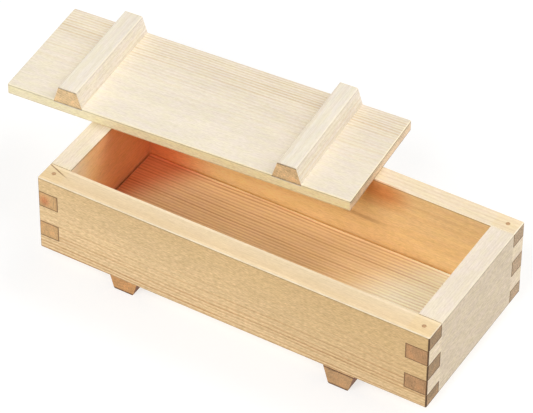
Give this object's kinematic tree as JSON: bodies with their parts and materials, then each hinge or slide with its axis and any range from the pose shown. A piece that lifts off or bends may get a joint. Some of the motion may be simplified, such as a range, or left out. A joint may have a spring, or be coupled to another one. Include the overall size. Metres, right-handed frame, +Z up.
{
  "type": "pressed sushi mould box",
  "caption": "Wooden press box: finger-jointed bottomless frame over a loose base on battens, with a loose press plate lying askew on the rim.",
  "frame": {"origin": "on the surface the feet stand on, under the middle of the whole set as it lies, press plate included", "axes": "+X along the box's long sides, +Y from the front board to the back board, +Z up"},
  "size_m": [0.2973, 0.1377, 0.0791],
  "materials": {
    "frame_wood": "planed bare softwood",
    "base_wood": "planed bare softwood, strong straight grain",
    "press_wood": "planed bare softwood, pale",
    "batten_wood": "planed bare softwood",
    "peg_wood": "bamboo or hardwood, end grain up"
  },
  "bodies": {
    "base": {"base_plate": "base_wood", "base_batten_left": "batten_wood", "base_batten_right": "batten_wood"},
    "frame": {"front_board": "frame_wood", "back_board": "frame_wood", "left_board": "frame_wood", "right_board": "frame_wood", "corner_peg_front_left": "peg_wood", "corner_peg_front_right": "peg_wood", "corner_peg_back_left": "peg_wood", "corner_peg_back_right": "peg_wood"},
    "press": {"press_plate": "press_wood", "press_batten_left": "batten_wood", "press_batten_right": "batten_wood"}
  },
  "joints": [
    {"name": "frame_lift", "type": "slide", "parent": "base", "child": "frame", "axis": [0, 0, 1], "range_m": [0, 0.06]},
    {"name": "press_lift", "type": "slide", "parent": "frame", "child": "press", "axis": [0, 0, 1], "range_m": [0, 0.08]}
  ]
}
